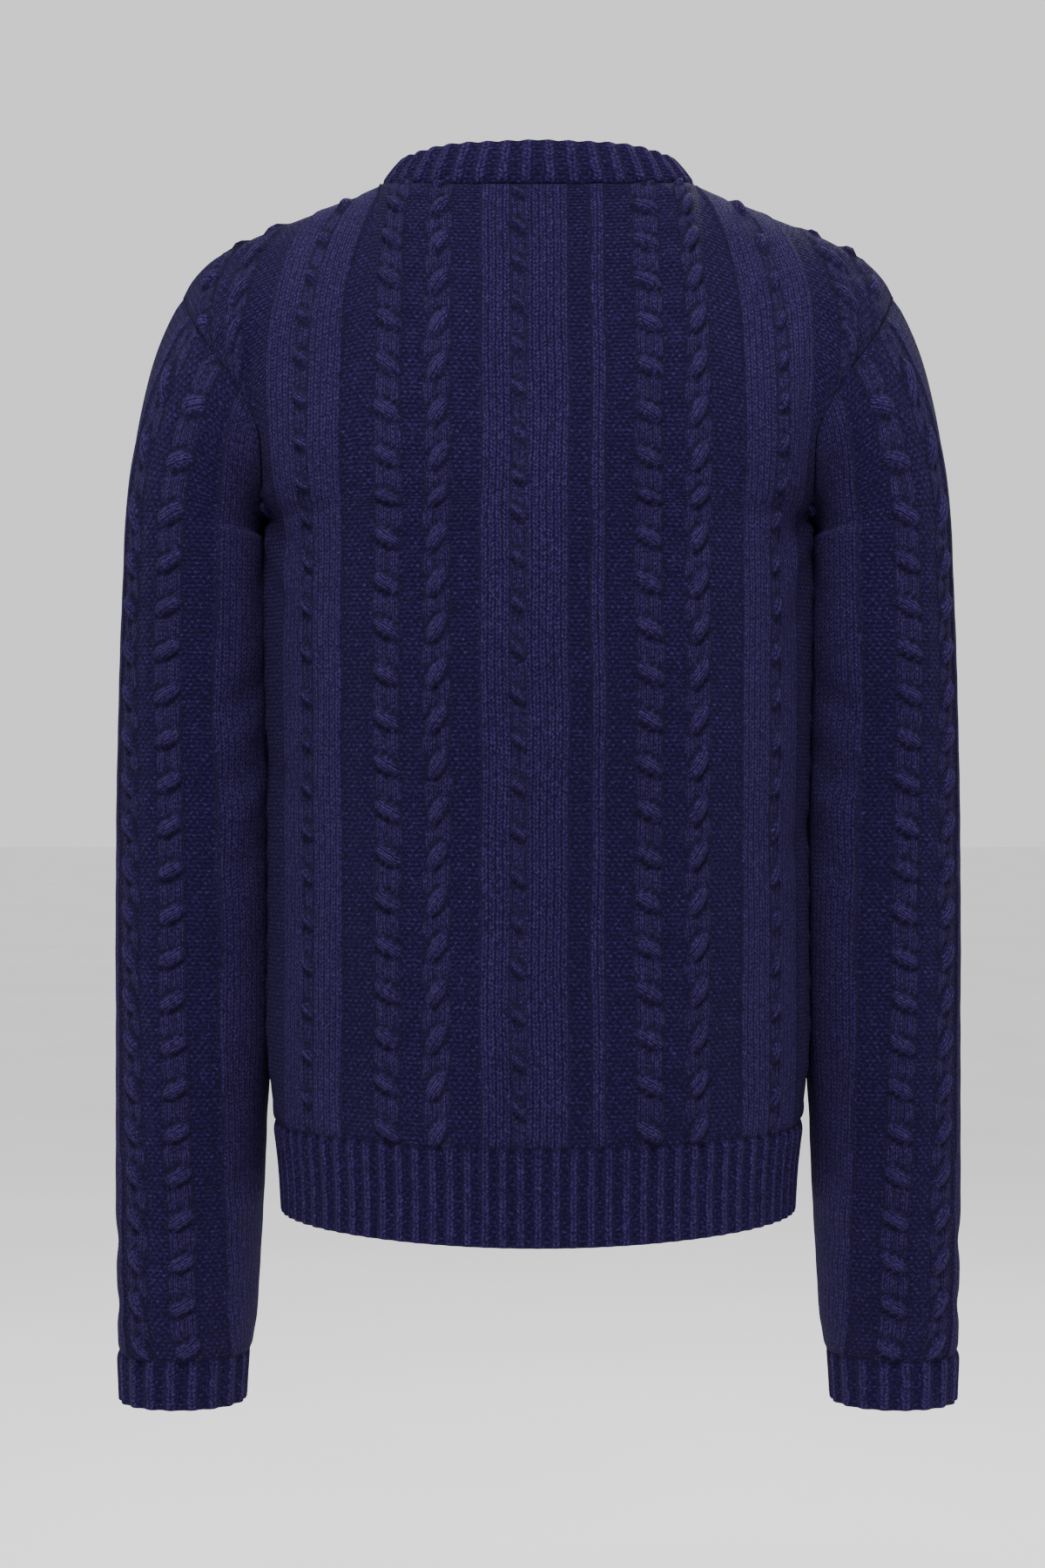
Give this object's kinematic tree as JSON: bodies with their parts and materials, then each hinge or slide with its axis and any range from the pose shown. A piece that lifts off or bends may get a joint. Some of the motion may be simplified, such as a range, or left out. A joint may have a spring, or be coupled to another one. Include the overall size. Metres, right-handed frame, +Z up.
{
  "type": "cardigan",
  "caption": "Cable-knit crew-neck cardigan with long sleeves, buttoned up, hollow, as it hangs on the body; ribbed neck, hem and cuffs.",
  "frame": {"origin": "middle of the neck at the level of the shoulder seams beside it, on the side seams' plane", "axes": "+Z up, the front faces -Y, +X is the wearer's left"},
  "size_m": [0.4628, 0.219, 0.6782],
  "materials": {
    "knit": "matt wool knit",
    "button": "satin"
  },
  "bodies": {
    "root": {"back": "knit", "front_left": "knit", "front_right": "knit", "sleeve_left": "knit", "sleeve_right": "knit", "neckband": "knit", "button_band": "knit", "buttonhole_band": "knit", "button_1": "button", "button_2": "button", "button_3": "button", "button_4": "button", "button_5": "button", "button_6": "button", "button_7": "button"}
  },
  "joints": []
}
